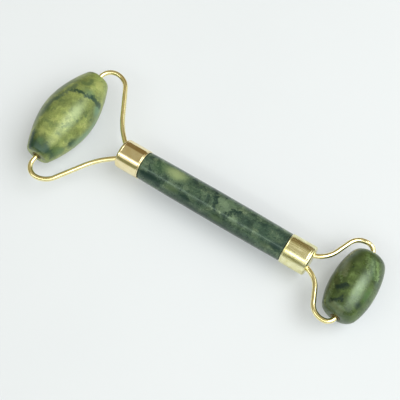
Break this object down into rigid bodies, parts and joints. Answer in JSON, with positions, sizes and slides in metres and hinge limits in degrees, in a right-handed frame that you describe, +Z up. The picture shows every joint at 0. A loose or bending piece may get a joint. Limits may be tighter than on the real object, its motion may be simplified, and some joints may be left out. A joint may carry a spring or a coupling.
{
  "type": "jade face roller",
  "caption": "Two-headed jade massage roller: a stone bar handle with a brass ferrule and wire yoke at each end, holding a large and a small barrel-shaped stone that spin.",
  "frame": {"origin": "centre of the base, midway along the roller's length, on the surface that both stones lie on", "axes": "+X along the handle towards the small stone, +Y along both roller axes towards the back, +Z up"},
  "size_m": [0.146, 0.0562, 0.021],
  "materials": {
    "bar_jade": "polished dark green jade, mottled",
    "large_stone_jade": "polished yellow-green jade with dark veins",
    "small_stone_jade": "polished mid-green jade with dark spots",
    "gilt_brass": "mirror-polished pale gold",
    "gilt_wire": "polished pale gold with slight tool marks at the bends",
    "bush_brass": "polished brass",
    "epoxy": "cured clear-amber epoxy"
  },
  "bodies": {
    "handle": {"handle_bar": "bar_jade", "large_ferrule": "gilt_brass", "small_ferrule": "gilt_brass", "large_yoke": "gilt_wire", "small_yoke": "gilt_wire", "large_yoke_adhesive": "epoxy", "small_yoke_adhesive": "epoxy"},
    "large_roller": {"large_roller_stone": "large_stone_jade", "large_roller_bush_front": "bush_brass", "large_roller_bush_back": "bush_brass"},
    "small_roller": {"small_roller_stone": "small_stone_jade", "small_roller_bush_front": "bush_brass", "small_roller_bush_back": "bush_brass"}
  },
  "joints": [
    {"name": "large_roller_spin", "type": "hinge", "parent": "handle", "child": "large_roller", "pos_m": [-0.06254, 0.00058, 0.0105], "axis": [0, 1, 0], "continuous": true},
    {"name": "small_roller_spin", "type": "hinge", "parent": "handle", "child": "small_roller", "pos_m": [0.06434, -0.0007, 0.0087], "axis": [0, 1, 0], "continuous": true}
  ]
}
